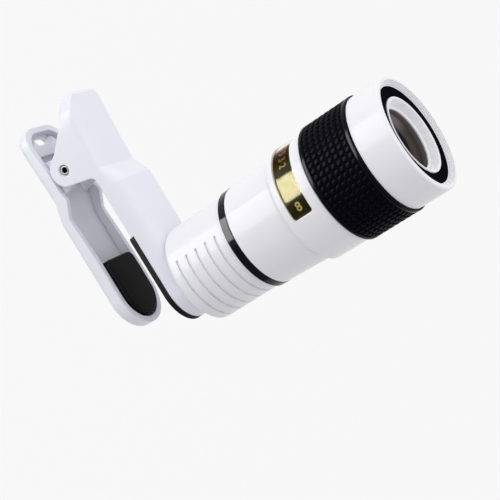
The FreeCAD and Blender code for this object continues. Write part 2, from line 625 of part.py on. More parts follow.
def main_barrel():
    wide = BARREL_BORE + BARREL_SHOULDER
    front_bore = GUIDE_FLANGE_Z + GUIDE_FLANGE_LENGTH
    sleeve_bore = SLEEVE_RADIUS - SLEEVE_WALL
    body = turned([
        (wide, TRIM_FRONT_Z), (BARREL_REAR, TRIM_FRONT_Z), (BARREL_WAIST, BARREL_STEP_Z),
        (SCALE_RADIUS, BARREL_STEP_Z + BARREL_STEP_LENGTH), (SCALE_RADIUS, GRIP_REAR - SIDE_GAP),
        (SLEEVE_RADIUS, GRIP_REAR - SIDE_GAP), (SLEEVE_RADIUS, SLEEVE_FRONT), (sleeve_bore, SLEEVE_FRONT),
        (sleeve_bore, front_bore), (BARREL_BORE, front_bore), (BARREL_BORE, STOP_SEAT_Z),
        (wide, STOP_SEAT_Z),
    ])
    body = body.makeFillet(BARREL_STEP_ROUND, rim_edges(body, BARREL_WAIST, BARREL_STEP_Z)
                           + rim_edges(body, SCALE_RADIUS, BARREL_STEP_Z + BARREL_STEP_LENGTH))
    body = body.cut(window_sector(SCALE_RADIUS + 1, SCALE_RADIUS - WINDOW_DEPTH, 0))
    groove_z = GRIP_REAR + STOP_Z
    half = STOP_SCREW_RADIUS + RUNNING_FIT
    for i in range(STOP_COUNT):
        turn = 360 / STOP_COUNT
        body = body.cut(tube_sector(SLEEVE_RADIUS + 1, SLEEVE_RADIUS - STOP_GROOVE_DEPTH, groove_z - half,
                                    groove_z + half, i * turn, (turn - STOP_GROOVE_WEB) / 2))
    return solid_of(body)


def scale_plate():
    floor = SCALE_RADIUS - WINDOW_DEPTH
    return solid_of(window_sector(floor + SCALE_THICKNESS, floor, SEAT_FIT))


def scale_window():
    floor = SCALE_RADIUS - WINDOW_DEPTH + SCALE_THICKNESS + SEAT_FIT
    return solid_of(window_sector(SCALE_RADIUS, floor, SEAT_FIT))


def field_stop():
    outer = BARREL_BORE + BARREL_SHOULDER - SEAT_FIT
    return solid_of(tube(outer, FIELD_STOP_APERTURE, STOP_SEAT_Z - FIELD_STOP_THICKNESS, STOP_SEAT_Z))


def guide_tube():
    inner = GUIDE_RADIUS - GUIDE_WALL
    flange = BARREL_BORE - SEAT_FIT
    front = GUIDE_FLANGE_Z + GUIDE_FLANGE_LENGTH
    body = turned([(inner, GUIDE_FLANGE_Z), (flange, GUIDE_FLANGE_Z), (flange, front), (GUIDE_RADIUS, front),
                   (GUIDE_RADIUS, GUIDE_FRONT), (inner, GUIDE_FRONT)])
    for side in (-1, 1):
        key = Part.makeBox(KEY_WIDTH, GUIDE_WALL / 2 + KEY_HEIGHT, GUIDE_FRONT - KEY_REAR,
                           V(-KEY_WIDTH / 2, 0, KEY_REAR))
        key.translate(V(0, GUIDE_RADIUS - GUIDE_WALL / 2, 0))
        key.rotate(V(0, 0, 0), V(0, 0, 1), 90 - 90 * side)
        body = body.fuse(key)
    return solid_of(body)


# Eyepiece

def eyepiece_cell():
    outer = EYEPIECE_RADIUS - SEAT_FIT
    flange_z = ARM_TOP + COLLAR_FLOOR
    front = EYEPIECE_REAR + EYEPIECE_LENGTH
    bore = EYE_GLASS_RADIUS + SEAT_FIT
    return solid_of(turned([
        (EYE_CONE, EYEPIECE_REAR), (outer, EYEPIECE_REAR), (outer, flange_z),
        (EYEPIECE_FLANGE_RADIUS, flange_z), (EYEPIECE_FLANGE_RADIUS, flange_z + EYEPIECE_FLANGE),
        (outer, flange_z + EYEPIECE_FLANGE),
        (outer, front), (bore, front), (bore, EYE_SEAT_Z), (EYE_APERTURE, EYE_SEAT_Z),
        (EYE_APERTURE, EYE_SEAT_Z - EYE_LIP / 3),
    ]))


def eye_lens():
    body = Part.makeCylinder(EYE_GLASS_RADIUS, EYE_LENS_THICKNESS, V(0, 0, EYE_SEAT_Z))
    rim = EYE_APERTURE
    body = body.cut(spherical_cap(rim, EYE_LENS_CURVE, EYE_SEAT_Z, 1))
    return solid_of(body.cut(spherical_cap(rim, EYE_LENS_CURVE, EYE_SEAT_Z + EYE_LENS_THICKNESS, -1)))


def eyepiece_spacer():
    low = EYE_SEAT_Z + EYE_LENS_THICKNESS
    return solid_of(tube(EYE_GLASS_RADIUS, EYE_APERTURE, low, low + SPACER_LENGTH))


def field_lens():
    body = Part.makeCylinder(EYE_GLASS_RADIUS, FIELD_LENS_THICKNESS, V(0, 0, FIELD_LENS_Z))
    front = FIELD_LENS_Z + FIELD_LENS_THICKNESS
    return solid_of(body.cut(spherical_cap(EYE_APERTURE, FIELD_LENS_CURVE, front, -1)))


def eyepiece_retainer():
    low = FIELD_LENS_Z + FIELD_LENS_THICKNESS
    return solid_of(tube(EYE_GLASS_RADIUS, EYE_APERTURE, low, low + RETAINER_LENGTH))


# Focusing front

def focus_ring():
    inner = SLEEVE_RADIUS + RUNNING_FIT
    thread_rear = GRIP_REAR + HELICOID_REAR
    thread_front = thread_rear + HELICOID_LENGTH
    body = turned([
        (inner, GRIP_REAR), (CARRIER_RADIUS, GRIP_REAR), (CARRIER_RADIUS, GRIP_FRONT),
        (HOOD_SPIGOT_RADIUS, GRIP_FRONT), (HOOD_SPIGOT_RADIUS, thread_front),
        (HELICOID_RADIUS, thread_front), (HELICOID_RADIUS, thread_rear), (inner, thread_rear),
    ])
    for i in range(STOP_COUNT):
        angle = math.radians(i * 360 / STOP_COUNT)
        way = V(math.cos(angle), math.sin(angle), 0)
        foot = V(0, 0, GRIP_REAR + STOP_Z)
        body = body.cut(Part.makeCylinder(STOP_SCREW_RADIUS + SEAT_FIT, CARRIER_RADIUS, foot, way))
    return solid_of(body)


def focus_screws():
    """Three headless screws through the focus ring, whose tips run in the sleeve's stop grooves."""
    tip = SLEEVE_RADIUS - STOP_GROOVE_DEPTH + RUNNING_FIT
    screws = []
    for i in range(STOP_COUNT):
        angle = math.radians(i * 360 / STOP_COUNT)
        way = V(math.cos(angle), math.sin(angle), 0)
        foot = way * tip + V(0, 0, GRIP_REAR + STOP_Z)
        length = CARRIER_RADIUS - 2 * RUNNING_FIT - tip
        screws.append(Part.makeCylinder(STOP_SCREW_RADIUS, length, foot, way))
    return Part.makeCompound(screws)


def rubber_grip():
    inner = CARRIER_RADIUS
    outer = GRIP_RADIUS
    field = GRIP_RADIUS - GRIP_BAND_PROUD
    low = GRIP_REAR
    high = GRIP_FRONT
    return solid_of(turned([
        (inner, low), (outer - GRIP_EDGE, low), (outer, low + GRIP_EDGE), (outer, low + GRIP_BAND),
        (field, low + GRIP_BAND), (field, high - GRIP_BAND), (outer, high - GRIP_BAND),
        (outer, high - GRIP_EDGE), (outer - GRIP_EDGE, high), (inner, high),
    ]))


def front_hood():
    spigot = HOOD_SPIGOT_RADIUS - SEAT_FIT
    seat = NAME_RING_FACE - NAME_RING_THICKNESS
    spigot_rear = GRIP_REAR + HELICOID_REAR + HELICOID_LENGTH
    ledge_bore = NAME_RING_RADIUS - HOOD_LEDGE
    rim = HOOD_RADIUS - HOOD_EDGE
    step = (rim - HOOD_LIP - NAME_RING_RADIUS) / HOOD_STEPS
    steps = []
    for i in range(HOOD_STEPS):
        radius = rim - HOOD_LIP - i * step
        z = HOOD_FRONT - i * HOOD_STEP_DEPTH
        steps += [(radius, z), (radius, z - HOOD_STEP_DEPTH)]
    body = turned([
        (spigot, spigot_rear), (spigot, GRIP_FRONT), (HOOD_RADIUS, GRIP_FRONT), (HOOD_RADIUS, HOOD_FRONT)]
        + steps + [
        (NAME_RING_RADIUS, NAME_RING_FACE), (NAME_RING_RADIUS, seat), (ledge_bore, seat),
        (ledge_bore, spigot_rear),
    ])
    return solid_of(body.makeFillet(HOOD_EDGE, rim_edges(body, HOOD_RADIUS, HOOD_FRONT)))


def name_ring():
    return solid_of(tube(NAME_RING_RADIUS - SEAT_FIT, NAME_RING_BORE, NAME_RING_FACE - NAME_RING_THICKNESS,
                         NAME_RING_FACE))


def objective_cell():
    skirt = HELICOID_RADIUS - RUNNING_FIT
    shoulder = CELL_SKIRT_REAR + CELL_SKIRT_LENGTH
    bore = OBJECTIVE_RADIUS + SEAT_FIT
    body = turned([
        (CELL_SKIRT_BORE, CELL_SKIRT_REAR), (skirt, CELL_SKIRT_REAR), (skirt, shoulder),
        (CELL_RADIUS, shoulder), (CELL_RADIUS, CELL_FRONT), (CELL_RADIUS - FUNNEL_RIM, CELL_FRONT),
        (OBJECTIVE_APERTURE, APERTURE_Z), (OBJECTIVE_APERTURE, LENS_FRONT_Z), (bore, LENS_FRONT_Z),
        (bore, shoulder), (CELL_SKIRT_BORE, shoulder),
    ])
    body = body.makeFillet(FUNNEL_EDGE, rim_edges(body, CELL_RADIUS, CELL_FRONT)
                           + rim_edges(body, CELL_RADIUS - FUNNEL_RIM, CELL_FRONT))
    depth = CELL_SKIRT_BORE + KEY_HEIGHT
    slot = Part.makeBox(KEY_WIDTH + 2 * RUNNING_FIT, 2 * depth, CELL_SKIRT_LENGTH,
                        V(-KEY_WIDTH / 2 - RUNNING_FIT, -depth, CELL_SKIRT_REAR))
    return solid_of(body.cut(slot))


def objective_crown_lens():
    body = Part.makeCylinder(OBJECTIVE_RADIUS, CROWN_THICKNESS, V(0, 0, CEMENT_Z))
    body = body.fuse(spherical_cap(OBJECTIVE_APERTURE, OBJECTIVE_FRONT_CURVE, LENS_FRONT_Z, 1))
    return solid_of(body.fuse(spherical_cap(OBJECTIVE_RADIUS, CEMENT_CURVE, CEMENT_Z, -1)))


def objective_flint_lens():
    body = Part.makeCylinder(OBJECTIVE_RADIUS, FLINT_THICKNESS, V(0, 0, LENS_REAR_Z))
    body = body.cut(spherical_cap(OBJECTIVE_RADIUS, CEMENT_CURVE, CEMENT_Z, -1))
    return solid_of(body.cut(spherical_cap(OBJECTIVE_APERTURE, FLINT_REAR_CURVE, LENS_REAR_Z, 1)))


def objective_retainer():
    return solid_of(tube(OBJECTIVE_RADIUS, OBJECTIVE_RADIUS - RETAINER_WALL, LENS_REAR_Z - RETAINER_LENGTH,
                         LENS_REAR_Z))


NODES = {
    "lens_jaw": lens_jaw,
    "lens_jaw_pad": lens_jaw_pad,
    "pad_jaw": pad_jaw,
    "pad_jaw_pad": pad_jaw_pad,
    "pivot_pin": pivot_pin,
    "torsion_spring": torsion_spring,
    "base_collar": base_collar,
    "trim_ring": trim_ring,
    "main_barrel": main_barrel,
    "scale_plate": scale_plate,
    "scale_window": scale_window,
    "field_stop": field_stop,
    "guide_tube": guide_tube,
    "eyepiece_cell": eyepiece_cell,
    "eye_lens": eye_lens,
    "eyepiece_spacer": eyepiece_spacer,
    "field_lens": field_lens,
    "eyepiece_retainer": eyepiece_retainer,
    "focus_ring": focus_ring,
    "focus_screws": focus_screws,
    "rubber_grip": rubber_grip,
    "front_hood": front_hood,
    "name_ring": name_ring,
    "objective_cell": objective_cell,
    "objective_crown_lens": objective_crown_lens,
    "objective_flint_lens": objective_flint_lens,
    "objective_retainer": objective_retainer,
}

facets = 0
for node, build in NODES.items():
    shape = build()
    shape.exportStep("parts/" + node + ".step")
    count = len(shape.tessellate(0.1)[1])
    facets += count
    print(node, "valid" if shape.isValid() else "NOT VALID", len(shape.Solids), "solids",
          round(shape.Volume, 1), "mm3", count, "facets")
print("facets", facets)
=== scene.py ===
# %% [markdown]
# # A clip-on telephoto lens in Blender
# The solids of this lens come from a CAD model, and they already have their real size and place.
# What is left for Blender is how they look: the moulded plastics, the woven rubber, the gilt scale,
# the glass and the light. This file does that one piece and one finish at a time.

# %% Load the solids
import bpy
import bmesh
import math
from mathutils import Matrix, Vector


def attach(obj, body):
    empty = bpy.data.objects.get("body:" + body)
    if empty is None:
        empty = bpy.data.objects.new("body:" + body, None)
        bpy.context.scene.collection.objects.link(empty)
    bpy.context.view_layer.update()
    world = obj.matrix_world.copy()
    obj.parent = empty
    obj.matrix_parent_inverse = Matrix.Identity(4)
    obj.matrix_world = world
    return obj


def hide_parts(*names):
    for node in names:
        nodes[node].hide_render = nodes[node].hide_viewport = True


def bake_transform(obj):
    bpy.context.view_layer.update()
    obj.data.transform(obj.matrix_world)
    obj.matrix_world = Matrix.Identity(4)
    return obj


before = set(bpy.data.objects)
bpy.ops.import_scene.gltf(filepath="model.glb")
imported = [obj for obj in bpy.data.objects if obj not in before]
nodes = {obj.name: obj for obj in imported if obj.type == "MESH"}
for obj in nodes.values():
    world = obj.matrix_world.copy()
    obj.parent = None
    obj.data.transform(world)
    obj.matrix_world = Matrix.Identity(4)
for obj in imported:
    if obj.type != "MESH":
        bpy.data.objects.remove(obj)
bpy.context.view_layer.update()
MM = 0.001

# %% [markdown]
# ## Tools for shaping
# Every operator in Blender works on what is selected, and a fresh primitive is selected all over.
# So each step starts by clearing the selection, and faces or edges are then picked by where they are.
# A finished piece keeps its place in its mesh, with its object at the origin. Lengths are written in
# millimetres and multiplied by MM, since the scene is in metres.

# %% Pick, shape and settle
MERGE_WITHIN = 0.002


def pick(piece):
    """Makes one object the only selected and active one."""
    if bpy.context.mode != "OBJECT":
        bpy.ops.object.mode_set(mode="OBJECT")
    bpy.ops.object.select_all(action="DESELECT")
    piece.select_set(True)
    bpy.context.view_layer.objects.active = piece
    return piece


def close_up(piece):
    """Merges the points of a piece that lie on each other and turns its faces outwards."""
    pick(piece)
    bpy.ops.object.mode_set(mode="EDIT")
    bpy.ops.mesh.select_all(action="SELECT")
    bpy.ops.mesh.remove_doubles(threshold=MERGE_WITHIN * MM)
    bpy.ops.mesh.normals_make_consistent(inside=False)
    bpy.ops.object.mode_set(mode="OBJECT")
    return piece


def coat(piece, finish):
    """Gives a piece one finish all over."""
    piece.data.materials.clear()
    piece.data.materials.append(finish)


def settle(piece, name, body, finish, smooth=35):
    """Names a finished piece, bakes its place into its mesh, smooths it, paints it and lets it ride."""
    pick(piece)
    bpy.ops.object.transform_apply(location=True, rotation=True, scale=True)
    bpy.ops.object.shade_smooth_by_angle(angle=math.radians(smooth))
    piece.name = name
    coat(piece, finish)
    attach(piece, body)
    print(name, "faces:", len(piece.data.polygons))
    return piece


def add_modifier(piece, kind, **settings):
    """Adds a modifier with its settings and applies it."""
    pick(piece)
    modifier = piece.modifiers.new(kind.title(), kind)
    for key, value in settings.items():
        setattr(modifier, key, value)
    bpy.ops.object.modifier_apply(modifier=modifier.name)


def join(pieces):
    """Joins several pieces into the first."""
    pick(pieces[0])
    for other in pieces[1:]:
        other.select_set(True)
    bpy.ops.object.join()
    return pieces[0]


def wrapped(angle, reach, height):
    """A point, given in mm by its angle round the optical axis, its distance from it and its height."""
    return Vector((reach * math.cos(angle), reach * math.sin(angle), height)) * MM


print("joined points lie within", MERGE_WITHIN, "mm")


# %% [markdown]
# ## A lathe
# Most of this lens is turned: a half section swept once round the optical axis. By hand that is a
# vertex extruded corner by corner, an edge that closes the section, and then the Spin tool, so the
# helper does the same.

# %% The lathe
def lathe(profile, steps):
    """Spins a closed half section, given as (radius, height) corners in mm, round the optical axis."""
    bpy.ops.object.select_all(action="DESELECT")
    bpy.ops.mesh.primitive_plane_add(size=MM)
    piece = bpy.context.object
    bpy.ops.object.mode_set(mode="EDIT")
    bpy.ops.mesh.select_all(action="SELECT")
    bpy.ops.mesh.merge(type="CENTER")
    here = Vector((profile[0][0] * MM, 0, profile[0][1] * MM))
    bpy.ops.transform.translate(value=here)
    for radius, height in profile[1:]:
        there = Vector((radius * MM, 0, height * MM))
        bpy.ops.mesh.extrude_region_move(TRANSFORM_OT_translate={"value": there - here})
        here = there
    edit = bmesh.from_edit_mesh(piece.data)
    ends = [v for v in edit.verts if len(v.link_edges) == 1]
    bpy.ops.mesh.select_all(action="DESELECT")
    for v in ends:
        v.select = True
    bmesh.update_edit_mesh(piece.data)
    bpy.ops.mesh.edge_face_add()
    bpy.ops.mesh.select_all(action="SELECT")
    bpy.ops.mesh.spin(steps=steps, angle=2 * math.pi, center=(0, 0, 0), axis=(0, 0, 1))
    return close_up(piece)


# %% [markdown]
# ## Tools for painting
# A material is a little graph of nodes. Written as Python sums, such as `1 - mask`, it is much easier
# to read than as a list of links, so one small class turns sums into Math nodes. A second one makes every
# other node, for materials and for the world alike, and a third one is a material with its shader.

# %% Sums that become nodes
MIXED_COLOUR = 2
BEVEL_SAMPLES = 6


class Flow:
    """A number that flows between nodes, on which + - * / and a few more make Math nodes."""

    def __init__(self, graph, socket):
        self.graph = graph
        self.socket = socket

    def math(self, operation, *values):
        return self.graph.node("ShaderNodeMath", {"operation": operation}, *values).out()

    def __add__(self, other):
        return self.math("ADD", self, other)

    __radd__ = __add__

    def __mul__(self, other):
        return self.math("MULTIPLY", self, other)

    __rmul__ = __mul__

    def __sub__(self, other):
        return self.math("SUBTRACT", self, other)

    def __rsub__(self, other):
        return self.math("SUBTRACT", other, self)

    def __truediv__(self, other):
        return self.math("DIVIDE", self, other)

    def size(self):
        return self.math("ABSOLUTE", self)

    def root(self):
        return self.math("SQRT", self)

    def over_zero(self):
        return self.math("MAXIMUM", self, 0.0)

    def turn_from(self, along):
        """The angle in degrees whose rise is this number and whose run is the other."""
        return self.math("ARCTAN2", self, along) * (180 / math.pi)

    def ramp(self, low, high):
        """0 up to low, 1 from high, and smooth between."""
        smooth = {"interpolation_type": "SMOOTHSTEP"}
        return self.graph.node("ShaderNodeMapRange", smooth, self, low, high).out()


class Made:
    """A node that was just made, and a short way to its outputs."""

    def __init__(self, graph, node):
        self.graph = graph
        self.node = node

    def out(self, name=0):
        return Flow(self.graph, self.node.outputs[name])


# %% [markdown]
# A node's inputs are named or counted. Some nodes have several inputs of one name, of which only one is in
# use at a time, so inputs are found by their identifier, which is their name except in such nodes. The
# Mix node is one of them, and its mixed colour is the third of its outputs.

# %% A graph of nodes
class Graph:
    """A tree of nodes under construction."""

    def __init__(self, tree):
        self.tree = tree

    def put(self, socket, value):
        """Links a flow to an input, or writes a plain value or a colour there."""
        if isinstance(value, Flow):
            self.tree.links.new(value.socket, socket)
        elif socket.type == "RGBA":
            socket.default_value = (*value, 1)
        else:
            socket.default_value = value

    def node(self, kind, settings=None, *values, **named):
        """Makes a node: its settings first, then the values or links of its inputs, by order or by name."""
        node = self.tree.nodes.new(kind)
        for key, value in (settings or {}).items():
            setattr(node, key, value)
        for socket, value in zip(node.inputs, values):
            self.put(socket, value)
        for key, value in named.items():
            self.put(next(s for s in node.inputs if s.identifier == key), value)
        return Made(self, node)

    def coordinates(self):
        """Object coordinates, in metres, as a vector."""
        return self.node("ShaderNodeTexCoord").out("Object")

    def place(self):
        """Object coordinates, in metres, as three numbers."""
        split = self.node("ShaderNodeSeparateXYZ", None, self.coordinates())
        return split.out("X"), split.out("Y"), split.out("Z")

    def noise(self, size_mm, detail=2.0, at=None):
        """Noise whose blotches are about one size across."""
        return self.node("ShaderNodeTexNoise", None, Vector=at or self.coordinates(), Scale=1 / (size_mm * MM),
                         Detail=detail).out("Fac")

    def mix(self, factor, low, high):
        """A colour between two colours."""
        colours = {"Factor_Float": factor, "A_Color": low, "B_Color": high}
        return self.node("ShaderNodeMix", {"data_type": "RGBA"}, **colours).out(MIXED_COLOUR)

    def seen_by(self, *rays):
        """1 for rays of any of these kinds and 0 for the others."""
        path = self.node("ShaderNodeLightPath")
        seen = path.out(rays[0])
        for ray in rays[1:]:
            seen = seen.math("MAXIMUM", seen, path.out(ray))
        return seen


# %% A material with its shader
class Paint(Graph):
    """A material under construction, with one principled shader."""

    def __init__(self, name, **constants):
        self.material = bpy.data.materials.new(name)
        self.material.use_nodes = True
        super().__init__(self.material.node_tree)
        self.shader = self.tree.nodes["Principled BSDF"]
        for key, value in constants.items():
            self.feed(key.replace("_", " "), value)

    def feed(self, name, value):
        """Links a changing value or colour to the shader, or sets one that is the same all over."""
        self.put(self.shader.inputs[name], value)

    def vary_roughness(self, middle, spread, flow):
        """Lets the roughness wander with a flow, which runs from 0 to 1, round a middle value."""
        self.feed("Roughness", flow * spread + (middle - spread / 2))

    def bump(self, height, depth_mm, edge_mm=None):
        """Raises the surface by height, from 0 to 1, times a depth. Sharp edges can catch light as rounded."""
        bump = {"Distance": depth_mm * MM, "Height": height}
        if edge_mm:
            rounded = self.node("ShaderNodeBevel", {"samples": BEVEL_SAMPLES}, Radius=edge_mm * MM)
            bump["Normal"] = rounded.out("Normal")
        self.feed("Normal", self.node("ShaderNodeBump", None, **bump).out("Normal"))


print("painting tools:", [kind.__name__ for kind in (Flow, Made, Graph, Paint)])

# %% [markdown]
# ## White mouldings
# The clip and the barrel are glossy white ABS. Real mouldings are never quite flat: they have a faint
# orange peel, their gloss varies, and their sharpest edges still have a small radius that catches the
# light. The Bevel node gives such a radius to the shading. The clip is a shade cooler than the barrel.

# %% Glossy white plastics
PLASTIC_IOR = 1.5


def white_plastic(name, colour, gloss, roughness, peel_mm, edge_mm=0.2):
    """Glossy white plastic with faint darker clouds, an orange peel and a finer grain on it."""
    paint = Paint(name, IOR=PLASTIC_IOR, Specular_IOR_Level=gloss)
    cloud = paint.noise(9.0, 3.0)
    paint.feed("Base Color", paint.mix(cloud, tuple(c - 0.012 for c in colour), colour))
    paint.vary_roughness(roughness, 0.06, paint.noise(3.0, 4.0))
    peel, grain = paint.noise(1.6, 1.0), paint.noise(0.12, 2.0)
    paint.bump(peel * 0.8 + grain * 0.2, peel_mm, edge_mm)
    return paint.material


barrel_white = white_plastic("barrel_white", (0.85, 0.845, 0.86), gloss=0.05, roughness=0.14, peel_mm=0.002)
clip_white = white_plastic("clip_white", (0.81, 0.81, 0.87), gloss=0.05, roughness=0.24, peel_mm=0.002,
                           edge_mm=0.45)
collar_white = white_plastic("collar_white", (0.83, 0.828, 0.85), gloss=0.07, roughness=0.26, peel_mm=0.005)
print("white plastics:", barrel_white.name, clip_white.name, collar_white.name)

# %% [markdown]
# ## Black pieces
# The trim ring is polished black, the ring round the glass is black with a satin paint, and the parts
# inside are flat black so that stray light dies on them.

# %% Black finishes
BLACK_EDGE = 0.15


def black_finish(name, colour, roughness, gloss, grain_mm, depth_mm):
    """Black plastic, paint or rubber with faint lighter clouds and a fine grain."""
    paint = Paint(name, IOR=PLASTIC_IOR, Specular_IOR_Level=gloss)
    lighter = tuple(c * 1.5 + 0.001 for c in colour)
    paint.feed("Base Color", paint.mix(paint.noise(4.0, 3.0), colour, lighter))
    paint.vary_roughness(roughness, 0.1, paint.noise(1.5, 4.0))
    paint.bump(paint.noise(grain_mm, 2.0), depth_mm, BLACK_EDGE)
    return paint.material


black_gloss = black_finish("black_gloss", (0.002, 0.002, 0.005), roughness=0.10, gloss=0.15,
                           grain_mm=1.2, depth_mm=0.002)
black_satin = black_finish("black_satin", (0.001, 0.001, 0.002), roughness=0.34, gloss=0.001,
                           grain_mm=0.12, depth_mm=0.004)
black_flat = black_finish("black_flat", (0.004, 0.004, 0.005), roughness=0.75, gloss=0.05,
                          grain_mm=0.2, depth_mm=0.012)
pad_rubber = black_finish("pad_rubber", (0.005, 0.005, 0.006), roughness=0.60, gloss=0.08,
                          grain_mm=0.25, depth_mm=0.020)
print("black finishes:", black_gloss.name, black_satin.name, black_flat.name, pad_rubber.name)

# %% [markdown]
# ## Steel
# The hinge pin is a nickel-plated rivet and the spring is drawn wire. Both are metals, so their colour
# is the colour of their reflections, and fine scratches break up the shine.

# %% Metals
SCRATCH_STRETCH = (1.0, 0.12, 1.0)


def plated_steel(name, colour, roughness, scratch_mm):
    """Bright metal with fine scratches along the pin, which are noise that is drawn out that way."""
    paint = Paint(name, Metallic=1.0)
    drawn_out = paint.node("ShaderNodeMapping", None, Vector=paint.coordinates(), Scale=SCRATCH_STRETCH).out()
    scratches = paint.noise(scratch_mm, 3.0, drawn_out)
    paint.feed("Base Color", paint.mix(paint.noise(1.2, 3.0), tuple(c * 0.82 for c in colour), colour))
    paint.vary_roughness(roughness, 0.18, scratches)
    paint.bump(scratches, 0.004)
    return paint.material


nickel = plated_steel("nickel_plate", (0.075, 0.075, 0.08), roughness=0.18, scratch_mm=0.20)
spring_steel = plated_steel("spring_wire", (0.42, 0.42, 0.44), roughness=0.30, scratch_mm=0.10)
print("metals:", nickel.name, spring_steel.name)

# %% [markdown]
# ## Glass
# The front glass looks almost black, because its coating lets the light pass into a black tube. Only a faint
# warm sheen lies on one side of it, a painted reflection of the white funnel, placed by Object coordinates.
# The cover over the scale is clear and so thin that it hardly bends light, so it gets a low index, which
# hardly reflects.

# %% Coated glass and the clear cover
GLASS_BLACK = (0.001, 0.0008, 0.0008)
# Colours of the painted reflection of the white funnel on the glass.
PAINTED_SHEEN_NEAR = (0.050, 0.040, 0.035)
PAINTED_SHEEN_FAR = (0.17, 0.16, 0.17)
COVER_TINTS = (0.93, 0.92, 0.86), (0.98, 0.97, 0.93)


def coated_glass():
    """Near black glass, with a painted reflection of the funnel, a sheen that lies past a curved line and
    grows to one side.
    """
    paint = Paint("coated_glass", IOR=1.6, Specular_IOR_Level=0.003)
    x, y, z = paint.place()
    radius = (x * x + y * y).root() / MM
    # Painted reflection: warm brown turning lighter grey towards -x, laid only past a curved line, with black
    # glass before it.
    painted_sheen = paint.mix((x / MM).ramp(-1.0, -7.0), PAINTED_SHEEN_NEAR, PAINTED_SHEEN_FAR)
    past_sheen_line = (y / MM + radius * 0.3).ramp(-0.2, 1.8)
    paint.feed("Base Color", paint.mix(past_sheen_line, GLASS_BLACK, painted_sheen))
    paint.vary_roughness(0.045, 0.03, paint.noise(2.5))
    return paint.material


def clear_cover():
    """Clear plastic, faintly yellowed in patches."""
    paint = Paint("clear_cover", IOR=1.05, Transmission_Weight=1.0)
    paint.feed("Base Color", paint.mix(paint.noise(5.0), *COVER_TINTS))
    paint.vary_roughness(0.03, 0.04, paint.noise(1.5))
    return paint.material


glass = coated_glass()
cover = clear_cover()
print("glasses:", glass.name, cover.name)

# %% [markdown]
# ## The gilt scale
# Under the clear cover lies a strip of gold foil under a lacquer that is amber at one end and near black
# at the other, with a thin gold line just inside its edge. Foil is a mirror, so the bright band in its
# middle is the softbox itself. The lacquer's colour follows the angle round the axis, in degrees from the
# strip's middle, worked out from Object coordinates.

# %% The strip's foil
STRIP_MIDDLE = 215.0
STRIP_HALF = 65.5
STRIP_LOW = 44.85
STRIP_HIGH = 50.55
STRIP_CORNER = 0.8
STRIP_RADIUS = 14.6
GOLD = (0.09, 0.07, 0.025)
GOLD_INSET = 0.30
GOLD_WIDTH = 0.10
GOLD_BLUR = 0.04
LACQUER_END = (0.016, 0.013, 0.003)
LACQUER_BANDS = [
    (56.0, 44.0, (0.052, 0.049, 0.031)),
    (14.0, 4.0, (0.030, 0.021, 0.003)),
    (2.0, -24.0, (0.14, 0.086, 0.008)),
]


def gilt_strip():
    """Lacquered foil whose colour follows the angle, with an outline at one distance from its rounded edge."""
    paint = Paint("gilt_strip", Metallic=1.0, Specular_Tint=(0.5, 0.38, 0.10))
    x, y, z = paint.place()
    cos, sin = math.cos(math.radians(STRIP_MIDDLE)), math.sin(math.radians(STRIP_MIDDLE))
    angle = (y * cos - x * sin).turn_from(x * cos + y * sin)
    half_long = math.radians(STRIP_HALF) * STRIP_RADIUS
    half_wide = (STRIP_HIGH - STRIP_LOW) / 2
    round_way = angle.size() * math.radians(STRIP_RADIUS)
    up_way = (z / MM - (STRIP_LOW + STRIP_HIGH) / 2).size()
    over_end = (round_way - (half_long - STRIP_CORNER)).over_zero()
    over_side = (up_way - (half_wide - STRIP_CORNER)).over_zero()
    inside = STRIP_CORNER - (over_end * over_end + over_side * over_side).root()
    line_starts = inside.ramp(GOLD_INSET, GOLD_INSET + GOLD_BLUR)
    line_ends = inside.ramp(GOLD_INSET + GOLD_WIDTH, GOLD_INSET + GOLD_WIDTH + GOLD_BLUR)
    lacquer = LACQUER_END
    for start, end, colour in LACQUER_BANDS:
        lacquer = paint.mix(angle.ramp(start, end), lacquer, colour)
    lacquer = paint.mix(paint.noise(1.1, 3.0) * 0.15, lacquer, (0.05, 0.04, 0.01))
    paint.feed("Base Color", paint.mix(line_starts - line_ends, lacquer, GOLD))
    paint.vary_roughness(0.13, 0.04, paint.noise(0.8, 3.0))
    return paint.material


def gilt_figures():
    """Plain gold for the figures, duller than the foil."""
    paint = Paint("gilt_figures", Metallic=1.0)
    paint.feed("Base Color", paint.mix(paint.noise(0.5), (0.20, 0.16, 0.06), (0.28, 0.22, 0.09)))
    paint.vary_roughness(0.33, 0.1, paint.noise(0.4))
    return paint.material


foil = gilt_strip()
figure_gold = gilt_figures()
print("foil and figures:", foil.name, figure_gold.name)

# %% [markdown]
# ## Dress the solids
# Most solids already have the right shape and only want their finish. Their meshes are loose triangles
# with hard facets, so two live modifiers help: Weld closes the triangles up, and Edge Split keeps the
# real edges sharp while everything between them is shaded smooth.

# %% Finish of each solid
CLIP_CREASE = 24
CREASE = 32
WELD_WITHIN = 0.0005


def dress(name, finish, angle):
    """Paints a solid and shades its faces smooth up to an angle. Its own mesh keeps its triangles."""
    node = nodes[name]
    coat(node, finish)
    for face in node.data.polygons:
        face.use_smooth = True
    weld = node.modifiers.new("Weld", "WELD")
    weld.merge_threshold = WELD_WITHIN * MM
    split = node.modifiers.new("Split", "EDGE_SPLIT")
    split.split_angle = math.radians(angle)


